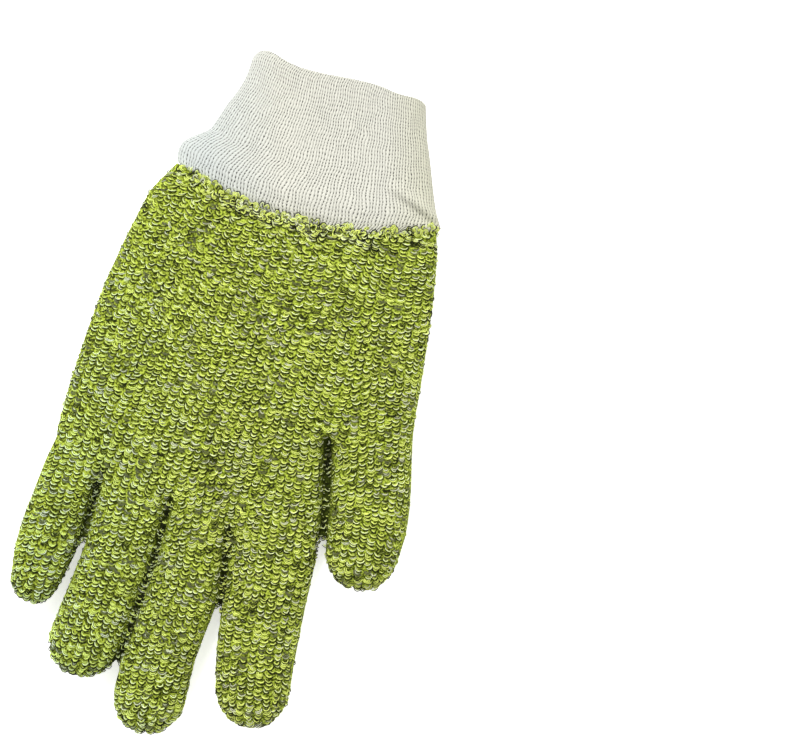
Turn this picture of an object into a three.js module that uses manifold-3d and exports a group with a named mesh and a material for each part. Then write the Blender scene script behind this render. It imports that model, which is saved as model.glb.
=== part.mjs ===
// A cut-resistant work glove of knitted terry with a plain knit wrist, lying
// flat on its back with the fingers pointing along -Y and the wrist along +Y.
// Everything is in millimetres, +Z is up, and the origin is the middle of the
// foot of the glove's bounding box. The terry is a hollow shell: five finger
// tubes, closed at their tips, open into the palm, and the palm opens at the
// wrist. The knit cuff is a thinner tube whose lower hem is tucked into the
// mouth of the palm.

import * as THREE from "three";
import { mergeVertices } from "three/addons/utils/BufferGeometryUtils.js";
import Module from "manifold-3d";

const wasm = await Module();
wasm.setup();

// Driving sizes
const terryWall = 3; // looped terry, backing and pile together
const knitWall = 1.5; // the cuff's plain knit
const gap = 0.3; // between two pieces that touch
const palmDip = 1.2; // how far a round section would sink before the table flattens it
const sides = { finger: 18, palm: 34, cuff: 36 }; // facets round each section
const ringStep = 9; // spacing of sections along a finger
const tipRings = 5; // sections that round off a fingertip
const squareness = { finger: 2.3, palm: 2.7, cuff: 2.6 }; // 2 is an ellipse
const tipSquareness = 2;
const rootEase = { length: 30, size: 0.78 }; // a tube starts smaller inside the palm
const overshoot = 8; // how far a cutter runs past what it cuts

// Fingers, from the root inside the palm to the end of the tip.
// x, y: centreline in plan, half: half the width there
const fingers = {
  little_finger: {
    height: 16.5,
    tipRadius: 9.8,
    rows: [
      { x: -47.1, y: -3.4, half: 11.2 },
      { x: -52.3, y: -15.4, half: 10.9 },
      { x: -56.4, y: -27.0, half: 11.3 },
      { x: -60.9, y: -39.8, half: 11.6 },
      { x: -64.8, y: -50.3, half: 11.8 },
      { x: -68.1, y: -59.6, half: 11.5 },
      { x: -71.1, y: -69.2, half: 9.8 },
      { x: -74.1, y: -78.5, half: 9.8 },
    ],
  },
  ring_finger: {
    height: 18,
    tipRadius: 13.9,
    rows: [
      { x: -25.3, y: -10.9, half: 12.8 },
      { x: -29.1, y: -24.0, half: 13.1 },
      { x: -33.2, y: -37.1, half: 13.3 },
      { x: -39.4, y: -59.6, half: 13.4 },
      { x: -46.6, y: -78.4, half: 13.7 },
      { x: -52.3, y: -93.0, half: 13.9 },
      { x: -57.3, y: -106.0, half: 13.9 },
    ],
  },
  middle_finger: {
    height: 18.5,
    tipRadius: 14,
    rows: [
      { x: -5.1, y: -18.4, half: 12.4 },
      { x: -8.1, y: -37.1, half: 12.6 },
      { x: -11.8, y: -59.6, half: 13.2 },
      { x: -17.1, y: -78.4, half: 13.8 },
      { x: -23.9, y: -97.1, half: 13.5 },
      { x: -28.3, y: -114.0, half: 14.0 },
      { x: -31.6, y: -127.6, half: 14.0 },
    ],
  },
  index_finger: {
    height: 19,
    tipRadius: 14.4,
    rows: [
      { x: 24.2, y: -14.6, half: 16.5 },
      { x: 21.6, y: -33.4, half: 17.2 },
      { x: 18.6, y: -55.9, half: 17.0 },
      { x: 14.8, y: -78.4, half: 15.9 },
      { x: 11.7, y: -97.1, half: 15.3 },
      { x: 10.3, y: -111.4, half: 14.4 },
      { x: 9.4, y: -125.8, half: 14.4 },
    ],
  },
  thumb: {
    height: 20,
    tipRadius: 14.4,
    rows: [
      { x: 59.6, y: 34.1, half: 16.0 },
      { x: 57.8, y: 7.9, half: 15.6 },
      { x: 55.3, y: -18.4, half: 15.4 },
      { x: 54.2, y: -40.9, half: 15.7 },
      { x: 53.2, y: -50.3, half: 15.5 },
      { x: 51.4, y: -60.0, half: 14.4 },
      { x: 49.8, y: -74.2, half: 14.4 },
    ],
  },
};

// The palm, from its mouth at the wrist to its end inside the fingers. Each row is a
// section across the hand: its left end, its middle and its right end, and its height.
const palmRows = [
  { left: [-17.4, 87.0], middle: [30.0, 63.0], right: [79.7, 60.8], height: 19 },
  { left: [-28.3, 75.8], middle: [26.8, 55.0], right: [79.9, 49.9], height: 21 },
  { left: [-36.6, 59.6], middle: [21.9, 41.6], right: [78.6, 34.1], height: 22 },
  { left: [-44.1, 43.5], middle: [16.7, 27.4], right: [76.2, 17.3], height: 22.5 },
  { left: [-51.6, 23.6], middle: [11.4, 9.4], right: [73.5, -0.4], height: 22.5 },
  { left: [-58.3, 3.4], middle: [6.9, -5.0], right: [71.4, -12.0], height: 22 },
  { left: [-63.4, -14.6], middle: [-12.0, -20.0], right: [41.0, -22.0], height: 20.5 },
  { left: [-62.0, -28.0], middle: [-13.0, -36.0], right: [36.0, -38.0], height: 17.5 },
  { left: [-42.0, -38.0], middle: [-9.0, -47.0], right: [26.0, -48.0], height: 12 },
];

// The cuff, from the hem inside the palm's mouth to its free edge. low and high are the
// heights of its underside and its top above the table.
const cuffRows = [
  { left: [-15.2, 80.2], middle: [28.4, 57.2], right: [74.6, 56.0], low: 3.5, high: 15.9 },
  { left: [-13.0, 87.8], middle: [30.5, 65.4], right: [76.1, 63.4], low: 3.7, high: 15.0 },
  { left: [-17.2, 90.4], middle: [31.1, 67.7], right: [80.3, 64.8], low: 1.2, high: 17.3 },
  { left: [-15.8, 93.4], middle: [32.3, 71.4], right: [79.2, 68.0], low: 0, high: 18.3 },
  { left: [-10.3, 96.2], middle: [34.5, 76.4], right: [78.2, 72.6], low: 0, high: 17.5 },
  { left: [-5.8, 98.4], middle: [37.1, 86.0], right: [77.3, 80.6], low: 0, high: 16.5 },
  { left: [-0.4, 104.8], middle: [39.9, 97.1], right: [76.3, 90.4], low: 0, high: 15.5 },
  { left: [5.6, 112.9], middle: [41.8, 106.1], right: [75.8, 98.6], low: 0, high: 14.5 },
  { left: [9.4, 119.6], middle: [43.3, 112.4], right: [75.6, 104.3], low: 0, high: 14 },
  { left: [12.4, 127.0], middle: [42.6, 116.6], right: [75.0, 108.2], low: 0, high: 13.5 },
];

// Dents in the upper side: a valley along the line from one point to another.
const dents = {
  palm: [{ from: [38.5, -16], to: [44, 10], depth: 2.2, width: 6 }],
  cuff: [{ from: [62, 74], to: [82, 62], depth: 2.4, width: 3.2 }],
};

// Where the knitter closes one section of the terry and starts the next, in plan.
const westEnd = [-100, -12];
const eastEnd = [100, -15];
const crotches = {
  littleRing: [-45.9, -29.3],
  ringMiddle: [-20.1, -40.5],
  middleIndex: [1.7, -51.4],
  indexRoot: [38.3, -40.0],
  indexThumb: [38.8, -18.4],
};
const creases = {
  littleRing: [[-53.6, -54.6], [-56.2, -62.5], [-60, -71], [-66, -82], [-90, -150]],
  ringMiddle: [[-25.3, -59.6], [-31.3, -77.3], [-37.7, -96.4], [-40.9, -101], [-46, -108],
    [-60, -150]],
  middleIndex: [[-0.2, -68], [-0.9, -77.3], [-4, -90], [-10, -105], [-12, -150]],
  indexThumb: [[37.7, -47.5], [36.5, -56.3], [35.4, -66], [34, -80], [34, -150]],
};

// A point of a section's own curve: share runs from -1 at its left end to 1 at its right.
function alongRow(row, share) {
  const [left, middle, right] = [row.left, row.middle, row.right];
  return [0, 1].map((k) => {
    const bow = (left[k] + right[k]) / 2 - middle[k];
    return middle[k] + (share * (right[k] - left[k])) / 2 + share * share * bow;
  });
}

// The same section taken in by a wall at both ends.
function insetRow(row, wall) {
  const across = new THREE.Vector2(row.right[0] - row.left[0], row.right[1] - row.left[1]);
  across.setLength(wall);
  return {
    ...row,
    left: [row.left[0] + across.x, row.left[1] + across.y],
    right: [row.right[0] - across.x, row.right[1] - across.y],
  };
}

// The same section moved a distance away from its neighbour.
function pushedRow(row, neighbour, distance) {
  const out = new THREE.Vector2(
    row.middle[0] - neighbour.middle[0],
    row.middle[1] - neighbour.middle[1],
  ).setLength(distance);
  const push = ([x, y]) => [x + out.x, y + out.y];
  return { ...row, left: push(row.left), middle: push(row.middle), right: push(row.right) };
}

function dentDepth(x, y, valleys) {
  let deepest = 0;
  for (const { from, to, depth, width } of valleys) {
    const line = new THREE.Line3(new THREE.Vector3(...from, 0), new THREE.Vector3(...to, 0));
    const at = new THREE.Vector3(x, y, 0);
    const nearest = line.closestPointToPoint(at, true, new THREE.Vector3());
    const away = nearest.distanceTo(at) / width;
    deepest = Math.max(deepest, depth * Math.exp(-away * away));
  }
  return deepest;
}

// One closed section: round the edge from the right end over the top. Its underside is
// flat where it would sink below floor.
function section(row, { low, high, floor, count, power, valleys = [] }) {
  const middle = (low + high) / 2;
  const half = (high - low) / 2;
  const signedPower = (v) => Math.sign(v) * Math.abs(v) ** (2 / power);
  return Array.from({ length: count }, (_, i) => {
    const turn = (2 * Math.PI * i) / count;
    const [x, y] = alongRow(row, signedPower(Math.cos(turn)));
    const rise = signedPower(Math.sin(turn));
    const dent = dentDepth(x, y, valleys) * Math.max(0, rise);
    return new THREE.Vector3(x, y, Math.max(floor, middle + half * rise - dent));
  });
}

// Skins a list of sections and closes both ends, as one closed geometry.
function skin(sections, endPoint) {
  const count = sections[0].length;
  const points = sections.flat();
  const index = [];
  for (let s = 0; s + 1 < sections.length; s++)
    for (let i = 0; i < count; i++) {
      const next = (i + 1) % count;
      const [a, b] = [s * count + i, s * count + next];
      const [c, d] = [a + count, b + count];
      index.push(a, b, d, a, d, c);
    }
  const cap = (first, middle, turned) => {
    points.push(middle);
    for (let i = 0; i < count; i++) {
      const [a, b] = [first + i, first + ((i + 1) % count)];
      index.push(points.length - 1, ...(turned ? [b, a] : [a, b]));
    }
  };
  const centreOf = (ring) =>
    ring.reduce((sum, p) => sum.add(p), new THREE.Vector3()).divideScalar(ring.length);
  cap(0, centreOf(sections[0]), true);
  cap((sections.length - 1) * count, endPoint ?? centreOf(sections.at(-1)), false);
  return new THREE.BufferGeometry().setFromPoints(points).setIndex(index);
}

function toSolid(geometry) {
  const bare = geometry.clone();
  bare.deleteAttribute("normal");
  bare.deleteAttribute("uv");
  const merged = mergeVertices(bare, 1e-4);
  const vertProperties = new Float32Array(merged.attributes.position.array);
  const triVerts = new Uint32Array(merged.index.array);
  const volume = signedVolume(vertProperties, triVerts);
  if (volume < 0)
    for (let i = 0; i < triVerts.length; i += 3)
      [triVerts[i], triVerts[i + 1]] = [triVerts[i + 1], triVerts[i]];
  return new wasm.Manifold(new wasm.Mesh({ numProp: 3, vertProperties, triVerts }));
}

function signedVolume(places, corners) {
  const at = (i) => new THREE.Vector3().fromArray(places, 3 * i);
  let six = 0;
  for (let i = 0; i < corners.length; i += 3) {
    const [a, b, c] = [at(corners[i]), at(corners[i + 1]), at(corners[i + 2])];
    six += a.dot(b.cross(c));
  }
  return six / 6;
}

function toMesh(name, solid, material) {
  const { numProp, vertProperties, triVerts } = solid.getMesh();
  const geometry = new THREE.BufferGeometry();
  const places = new Float32Array((vertProperties.length / numProp) * 3);
  for (let i = 0; i < places.length / 3; i++)
    for (let k = 0; k < 3; k++) places[3 * i + k] = vertProperties[numProp * i + k];
  geometry.setAttribute("position", new THREE.BufferAttribute(places, 3));
  geometry.setIndex(new THREE.BufferAttribute(new Uint32Array(triVerts), 1));
  const mesh = new THREE.Mesh(geometry, material);
  mesh.name = name;
  return mesh;
}

// A finger tube, or with a wall its hollow: straight sections along the centreline, then
// rings that close over the tip.
function fingerSolid({ height, tipRadius, rows }, wall) {
  const line = new THREE.CatmullRomCurve3(
    rows.map(({ x, y, half }) => new THREE.Vector3(x, y, half)),
    false,
    "centripetal",
  );
  const whole = line.getLength();
  const length = whole - wall;
  const radius = tipRadius - wall;
  const places = [];
  const straight = Math.ceil((length - radius) / ringStep);
  for (let i = 0; i <= straight; i++) places.push(((length - radius) * i) / straight);
  for (let i = 1; i <= tipRings; i++)
    places.push(length - radius + radius * Math.sin((i / (tipRings + 0.6)) * (Math.PI / 2)));
  const rise = (height + palmDip) / 2 - palmDip;
  const sections = places.map((s) => {
    const at = line.getPointAt(s / whole);
    const way = line.getTangentAt(s / whole).setZ(0).normalize();
    const past = Math.max(0, s - (length - radius)) / radius;
    const grown = THREE.MathUtils.smoothstep(s, 0, rootEase.length);
    const shrink =
      (1 - past ** tipSquareness) ** (1 / tipSquareness) *
      THREE.MathUtils.lerp(rootEase.size, 1, grown);
    const half = (at.z - wall) * shrink;
    const row = {
      left: [at.x - way.y * half, at.y + way.x * half],
      middle: [at.x, at.y],
      right: [at.x + way.y * half, at.y - way.x * half],
    };
    const upHalf = ((height + palmDip) / 2 - wall) * shrink;
    return section(row, {
      low: rise - upHalf,
      high: rise + upHalf,
      floor: wall,
      count: sides.finger,
      power: squareness.finger,
    });
  });
  const end = line.getPointAt(length / whole).setZ(rise);
  return toSolid(skin(sections, end));
}

// The palm's body, or with a wall its hollow, which also runs out through the mouth.
function palmSolid(wall) {
  const rows = palmRows.map((row) => (wall ? insetRow(row, wall) : row));
  if (wall) rows.unshift(pushedRow(rows[0], rows[1], overshoot));
  return toSolid(
    skin(
      rows.map((row) =>
        section(row, {
          low: wall - palmDip,
          high: row.height - wall,
          floor: wall,
          count: sides.palm,
          power: squareness.palm,
          valleys: dents.palm,
        }),
      ),
    ),
  );
}

function cuffSolid(wall) {
  const rows = cuffRows.map((row) => (wall ? insetRow(row, wall) : row));
  if (wall) {
    rows[0] = pushedRow(rows[0], rows[1], overshoot / 2);
    rows[rows.length - 1] = pushedRow(rows.at(-1), rows.at(-2), overshoot / 2);
  }
  return toSolid(
    skin(
      rows.map((row) =>
        section(row, {
          low: row.low + wall - (row.low ? 0 : palmDip),
          high: row.high - wall,
          floor: row.low + wall,
          count: sides.cuff,
          power: squareness.cuff,
          valleys: dents.cuff,
        }),
      ),
    ),
  );
}

// A thin upright blade from one plan point to another, which parts two sections.
function blade(from, to) {
  const across = new THREE.Vector2(to[0] - from[0], to[1] - from[1]);
  const box = new THREE.BoxGeometry(across.length() + gap, gap, 60);
  box.rotateZ(across.angle());
  box.translate((from[0] + to[0]) / 2, (from[1] + to[1]) / 2, 10);
  return toSolid(box);
}

// An upright block over a plan outline, which keeps one section.
function block(outline) {
  const shape = new THREE.Shape(outline.map(([x, y]) => new THREE.Vector2(x, y)));
  const geometry = new THREE.ExtrudeGeometry(shape, { depth: 60, bevelEnabled: false });
  geometry.translate(0, 0, -20);
  return toSolid(geometry);
}

const union = (solids) => solids.reduce((all, one) => all.add(one));

// The main body of a section, without the shavings a cutter can leave beside it.
const mainBody = (solid) =>
  solid.decompose().reduce((best, one) => (one.volume() > best.volume() ? one : best));

const outside = union([palmSolid(0), ...Object.values(fingers).map((f) => fingerSolid(f, 0))]);
const hollow = union([
  palmSolid(terryWall),
  ...Object.values(fingers).map((f) => fingerSolid(f, terryWall)),
]);
let shell = outside.subtract(hollow);

const { littleRing, ringMiddle, middleIndex, indexRoot, indexThumb } = crotches;
const partings = [
  [westEnd, littleRing, ringMiddle, middleIndex, indexRoot],
  [eastEnd, indexThumb, indexRoot],
  [littleRing, ...creases.littleRing],
  [ringMiddle, ...creases.ringMiddle],
  [middleIndex, ...creases.middleIndex],
  [indexRoot, ...creases.indexThumb],
];
for (const line of partings)
  for (let i = 0; i + 1 < line.length; i++)
    shell = shell.subtract(blade(line[i], line[i + 1]));

const backwards = (line) => [...line].reverse();
const sections = {
  palm: [westEnd, [-100, 130], [100, 130], eastEnd, indexThumb, indexRoot, middleIndex,
    ringMiddle, littleRing],
  little_finger: [westEnd, littleRing, ...creases.littleRing, [-100, -150]],
  ring_finger: [littleRing, ringMiddle, ...creases.ringMiddle, ...backwards(creases.littleRing)],
  middle_finger: [ringMiddle, middleIndex, ...creases.middleIndex,
    ...backwards(creases.ringMiddle)],
  index_finger: [middleIndex, indexRoot, ...creases.indexThumb,
    ...backwards(creases.middleIndex)],
  thumb: [indexThumb, eastEnd, [100, -150], ...backwards(creases.indexThumb), indexRoot],
};

const terry = new THREE.MeshStandardMaterial({
  name: "terry",
  color: 0x919d4c,
  roughness: 0.95,
  metalness: 0,
});
const knit = new THREE.MeshStandardMaterial({
  name: "knit",
  color: 0xe0dfd1,
  roughness: 0.9,
  metalness: 0,
});

const glove = new THREE.Group();
for (const [name, outline] of Object.entries(sections))
  glove.add(toMesh(name, mainBody(shell.intersect(block(outline))), terry));
glove.add(toMesh("knit_cuff", cuffSolid(0).subtract(cuffSolid(knitWall)), knit));

// The origin is the middle of the foot of the bounding box.
const box = new THREE.Box3().setFromObject(glove);
const centre = box.getCenter(new THREE.Vector3());
glove.position.set(-centre.x, -centre.y, -box.min.z);

export default glove;
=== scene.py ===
import math
import bmesh
import bpy
import numpy as np
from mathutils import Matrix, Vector, noise
from mathutils.bvhtree import BVHTree


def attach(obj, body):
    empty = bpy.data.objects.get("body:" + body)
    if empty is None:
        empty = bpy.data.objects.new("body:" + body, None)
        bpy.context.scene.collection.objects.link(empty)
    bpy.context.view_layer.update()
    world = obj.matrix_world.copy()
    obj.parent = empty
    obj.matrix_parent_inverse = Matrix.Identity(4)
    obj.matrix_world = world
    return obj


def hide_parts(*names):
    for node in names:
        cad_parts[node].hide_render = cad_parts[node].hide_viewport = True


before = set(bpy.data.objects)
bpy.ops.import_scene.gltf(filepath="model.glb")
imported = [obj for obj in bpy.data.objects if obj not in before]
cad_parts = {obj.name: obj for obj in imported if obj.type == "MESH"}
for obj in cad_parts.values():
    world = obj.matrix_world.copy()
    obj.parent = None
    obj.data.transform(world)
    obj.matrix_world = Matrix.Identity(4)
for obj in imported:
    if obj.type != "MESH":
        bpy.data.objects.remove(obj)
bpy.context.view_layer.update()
mm = 0.001
terryNodes = ["palm", "little_finger", "ring_finger", "middle_finger", "index_finger", "thumb"]
shift = np.array([-0.013, 0.480])  # from the plan below to the model's origin, mm
wristward = np.array([0.26, 0.965])  # square to the seam, toward the cuff


def deselectAll():
    if bpy.context.object and bpy.context.object.mode != "OBJECT":
        bpy.ops.object.mode_set(mode="OBJECT")
    bpy.ops.object.select_all(action="DESELECT")


def makeActive(obj):
    deselectAll()
    obj.select_set(True)
    bpy.context.view_layer.objects.active = obj


def applyModifier(obj, kind, **settings):
    makeActive(obj)
    modifier = obj.modifiers.new(kind.title(), kind)
    for key, value in settings.items():
        setattr(modifier, key, value)
    bpy.ops.object.modifier_apply(modifier=modifier.name)


def arcLength(points):
    steps = np.linalg.norm(np.diff(points, axis=0), axis=1)
    return np.concatenate([[0], np.cumsum(steps)])


def unit(v):
    return v / np.maximum(np.linalg.norm(v, axis=-1, keepdims=True), 1e-9)


def patchNoise(places, size, offset=(0, 0, 0)):
    return np.array([noise.noise(Vector(p) / size + Vector(offset)) for p in places])


# A smooth curve through the rows of a table
def smoothRows(rows, count):
    rows = np.array(rows, float)
    steps = np.linalg.norm(np.diff(rows[:, :2], axis=0), axis=1)
    at = np.concatenate([[0], np.cumsum(np.sqrt(steps))])
    grid = np.linspace(0, at[-1], count)
    slopes = np.gradient(rows, at, axis=0)
    k = np.clip(np.searchsorted(at, grid, side="right") - 1, 0, len(at) - 2)
    h = (at[k + 1] - at[k])[:, None]
    t = ((grid - at[k]) / h[:, 0])[:, None]
    return (
        (2 * t**3 - 3 * t**2 + 1) * rows[k]
        + (t**3 - 2 * t**2 + t) * h * slopes[k]
        + (-2 * t**3 + 3 * t**2) * rows[k + 1]
        + (t**3 - t**2) * h * slopes[k + 1]
    )


# The same curve with its points evenly spaced
def evenCurve(points, count, fine=2000):
    curve = smoothRows(points, fine)
    arc = arcLength(curve)
    want = np.linspace(0, arc[-1], count)
    return np.stack([np.interp(want, arc, curve[:, k]) for k in range(2)], 1)


# Plan of the glove, mm. A share is a place along the seam, -1 at its left end and 1 at its right
seam = dict(left=(-17.4, 87.0), middle=(30.0, 63.0), right=(79.7, 60.8), length=100)

bands = {  # each finger with its part of the palm, down the middle
    "little": dict(
        share=-0.8,
        line=[(-29, 42), (-47.1, -3.4), (-52.3, -15.4), (-56.4, -27), (-60.9, -39.8),
              (-64.8, -50.3), (-68.1, -59.6), (-71.1, -69.2), (-74.1, -78.4)],
    ),
    "ring": dict(
        share=-0.4,
        line=[(-7, 30), (-25.3, -10.9), (-29.1, -24), (-33.2, -37.1), (-39.4, -59.6),
              (-46.6, -78.4), (-52.3, -93), (-57.3, -105.9)],
    ),
    "middle": dict(
        share=0.0,
        line=[(13, 23), (-5.1, -18.4), (-8.1, -37.1), (-11.8, -59.6), (-17.1, -78.4),
              (-23.9, -97.1), (-28.3, -114), (-31.6, -127.5)],
    ),
    "index": dict(
        share=0.4,
        line=[(36, 23), (25.2, -14.6), (21.6, -33.4), (18.6, -55.9), (14.8, -78.4),
              (11.7, -97.1), (10.3, -111.4), (9.4, -125.7)],
    ),
    "thumb": dict(
        share=0.8,
        line=[(62.5, 34.1), (56.8, 7.9), (55.3, -18.4), (54.2, -40.9), (53.2, -50.3),
              (51.4, -60), (49.8, -74.1)],
    ),
}

# Between the bands, from the crotch down the crease where two fingers press together, and on
# past the tips. The crease's depth and width are in mm
partings = [
    dict(
        share=-0.6, depth=2.6, width=1.3,
        line=[(-45.9, -29.3), (-53.6, -54.6), (-56.2, -62.5), (-60, -71), (-66, -82), (-90, -150)],
    ),
    dict(
        share=-0.2, depth=2.8, width=1.3,
        line=[(-20.1, -40.5), (-25.3, -59.6), (-31.3, -77.3), (-37.7, -96.4), (-40.9, -101),
              (-46, -108), (-60, -150)],
    ),
    dict(
        share=0.2, depth=2.8, width=1.3,
        line=[(1.7, -51.4), (-0.2, -68), (-0.9, -77.3), (-4, -90), (-10, -105), (-12, -150)],
    ),
    dict(
        share=0.6, depth=4.6, width=1.7,
        line=[(38.8, -18.4), (38.3, -40), (37.7, -47.5), (36.5, -56.3), (35.4, -66), (34, -80),
              (34, -150)],
    ),
]
planReach = dict(side=130, top=140, bottom=-150)  # all of the glove is within these, mm


def seamPoint(share):
    left, middle, right = (np.array(seam[k]) for k in ("left", "middle", "right"))
    bow = (left + right) / 2 - middle
    return middle + share * (right - left) / 2 + share * share * bow


def toLine(places, line):
    near = np.full(len(places), np.inf)
    for a, b in zip(np.array(line[:-1]), np.array(line[1:])):
        rel, leg = places[:, :2] - shift - a, b - a
        t = np.clip(rel @ leg / (leg @ leg), 0, 1)
        near = np.minimum(near, np.hypot(*(rel - t[:, None] * leg).T))
    return near


# The terry backing: the outer surface of the CAD shell, let down by the height of the pile
skinSettings = dict(
    voxel=1.15,  # mm
    smoothing=(8, 4),  # steps before and after it is let down
    pile=1.35,  # mm
    sidePile=0.9,  # share of the pile's height that is left out at the sides
    top=0.2,  # the creases sink only where the normal rises by more than this
    keep=0.16,  # share of the faces that stay
    wall=1.3,  # mm
    crotchDrop=1.5,  # from a crease's end to the middle of its spot of painted shade, mm
    crotchWider=1.4,
)
openings = dict(  # mm
    rim=(1.05, 200),  # how far past the seam's ends it is looked for, as a share, and steps
    mouth=2.2,  # faces this near the seam that face the cuff go
    facing=0.55,
    thumbFree=-54.5,  # below this the thumb lies free of the index finger
    gap=(36, 12),  # middle and half width of the strip that is searched there
    slit=1.2,  # faces this near the parting go
)


def isOpening(face, rim, outward):
    middle = face.calc_center_median() / mm
    near = np.min(np.hypot(rim[:, 0] - middle.x, rim[:, 1] - middle.y))
    if near < openings["mouth"] and face.normal.dot(outward) > openings["facing"]:
        return True
    gap, halfGap = openings["gap"]
    if middle.y >= openings["thumbFree"] or abs(middle.x - gap) >= halfGap:
        return False
    return toLine(np.array([middle]), partings[-1]["line"])[0] < openings["slit"]


def terrySkin():
    copies = []
    for name in terryNodes:
        copy = bpy.data.objects.new("shell_" + name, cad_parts[name].data.copy())
        bpy.context.scene.collection.objects.link(copy)
        copies.append(copy)
    deselectAll()
    for copy in copies:
        copy.select_set(True)
    bpy.context.view_layer.objects.active = copies[0]
    bpy.ops.object.join()
    shell = copies[0]
    shell.name = "terry_backing"
    bpy.ops.object.mode_set(mode="EDIT")
    bpy.ops.mesh.select_all(action="SELECT")
    bpy.ops.mesh.remove_doubles(threshold=1e-6)
    bpy.ops.object.mode_set(mode="OBJECT")
    applyModifier(shell, "REMESH", mode="VOXEL", voxel_size=skinSettings["voxel"] * mm)
    mesh = bmesh.new()
    mesh.from_mesh(shell.data)
    past, steps = openings["rim"]
    rim = np.array([seamPoint(s) + shift for s in np.linspace(-past, past, steps)])
    outward = Vector((*wristward, 0))
    doomed = [face for face in mesh.faces if isOpening(face, rim, outward)]
    bmesh.ops.delete(mesh, geom=doomed, context="FACES")
    keepLargestSheet(mesh)
    mesh.to_mesh(shell.data)
    mesh.free()
    applyModifier(shell, "SMOOTH", factor=0.5, iterations=skinSettings["smoothing"][0])
    return shell


# The openings part the shell's outer surface from its inner one, and the outer one is kept
def keepLargestSheet(mesh):
    mesh.faces.ensure_lookup_table()
    mesh.faces.index_update()
    seen = np.zeros(len(mesh.faces), bool)
    sheets = []
    for start in mesh.faces:
        if seen[start.index]:
            continue
        seen[start.index] = True
        stack, sheet = [start], []
        while stack:
            face = stack.pop()
            sheet.append(face)
            for other in (f for edge in face.edges for f in edge.link_faces):
                if not seen[other.index]:
                    seen[other.index] = True
                    stack.append(other)
        sheets.append(sheet)
    sheets.sort(key=lambda sheet: sum(face.calc_area() for face in sheet))
    spare = [face for sheet in sheets[:-1] for face in sheet]
    bmesh.ops.delete(mesh, geom=spare, context="FACES")


def letDown(skin):
    outer = np.array([v.co for v in skin.data.vertices])
    normals = np.array([v.normal for v in skin.data.vertices])
    upright = 1 - np.abs(normals[:, 2:])
    lowered = outer - normals * (1 - skinSettings["sidePile"] * upright) * skinSettings["pile"] * mm
    for parting in partings:
        near = toLine(lowered / mm, parting["line"]) / parting["width"]
        sunk = parting["depth"] * np.exp(-(near**2))
        lowered[:, 2] -= np.where(normals[:, 2] > skinSettings["top"], sunk, 0) * mm
    skin.data.vertices.foreach_set("co", lowered.ravel())
    applyModifier(skin, "SMOOTH", factor=0.5, iterations=skinSettings["smoothing"][1])


# Painted shade: how dark each place of the backing is painted, along each crease and in a spot at its
# crotch
def paintCreaseShade(skin):
    places = np.array([v.co for v in skin.data.vertices]) / mm
    paintedCreaseShade = np.zeros(len(places))
    for parting in partings:
        width = parting["width"]
        near = toLine(places, parting["line"]) / width
        fromEnd = places[:, :2] - shift - np.array(parting["line"][0])
        crotch = np.hypot(*(fromEnd + (0, skinSettings["crotchDrop"])).T)
        crotch = crotch / (width * skinSettings["crotchWider"])
        paintedCreaseShade = np.maximum(paintedCreaseShade, np.exp(-(np.minimum(near, crotch) ** 2)))
    layer = skin.data.attributes.new("crease", "FLOAT", "POINT")
    layer.data.foreach_set("value", paintedCreaseShade)


backing = terrySkin()
letDown(backing)
skinTree = BVHTree.FromObject(backing, bpy.context.evaluated_depsgraph_get())
print("terry skin", len(backing.data.polygons), "faces")
applyModifier(backing, "DECIMATE", ratio=skinSettings["keep"])
applyModifier(backing, "SOLIDIFY", thickness=skinSettings["wall"] * mm, offset=-1)
makeActive(backing)
bpy.ops.object.shade_smooth()
paintCreaseShade(backing)
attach(backing, "root")
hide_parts(*terryNodes)
print("terry backing", len(backing.data.polygons), "faces")

# The pile: loops of yarn, each plied from three strands
pileSettings = dict(
    seed=11,
    column=3.2,  # between loops across the hand, mm
    row=1.55,  # between loops along the hand, mm
    firstRow=0.8,  # from the seam, mm
    stagger=0.37,  # of a row, from one column to the next
    width=2.65,  # a loop, arm to arm
    reach=1.6,  # a loop, root to bend
    strand=(0.18, 0.185, 0.235),  # half of each strand's thickness
    spread=(0.43, 0.2),  # from the yarn's middle to a strand's, along the loop's plane and off it
    twist=60,  # degrees that the ply turns along a loop
    firstTurn=-90,  # degrees, where the first strand lies at the bend
    lean=54,  # degrees from standing to lying toward the fingertip
    sides=3,  # of a strand's section
    bends=4,  # segments of each strand's arch
    start=22,  # degrees of the arch that stay hidden in the backing at each end
    sink=0.45,  # mm
    grey=0.17,  # share of loops that show the grey fibres
    table=0.35,  # below this height the pile is pressed flat by the table, mm
    low=(3, 0.85),  # loops that root below this height have this share of their reach
)
scatter = dict(  # how far loops differ from each other; wild is for the untidy ones
    sway=0.4,  # radians that whole patches turn together
    swaySize=22,  # mm
    spin=0.14,  # radians
    wildSpin=0.7,
    lean=7,  # degrees
    wildLean=22,
    width=0.12,
    wildNarrower=0.12,
    reach=0.1,
    along=0.15,  # mm
    aside=0.16,
    skew=0.18,
    ply=32,  # degrees
    fibres=7,  # how far the twist of the fibres is moved along the strand
    greySize=7,  # mm
    greyPatch=2.2,
)
atSides = dict(  # the pile is tidy, flat, short and deep at the sides of the hand
    tidier=0.7,
    lean=32,  # degrees more
    long=1.05,  # longer loops than this lean less and less of it, and none past longOver
    longOver=0.2,
    mostLean=85,
    shorter=0.35,
    deeper=0.2,
)
dice = np.random.RandomState(pileSettings["seed"])


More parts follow.
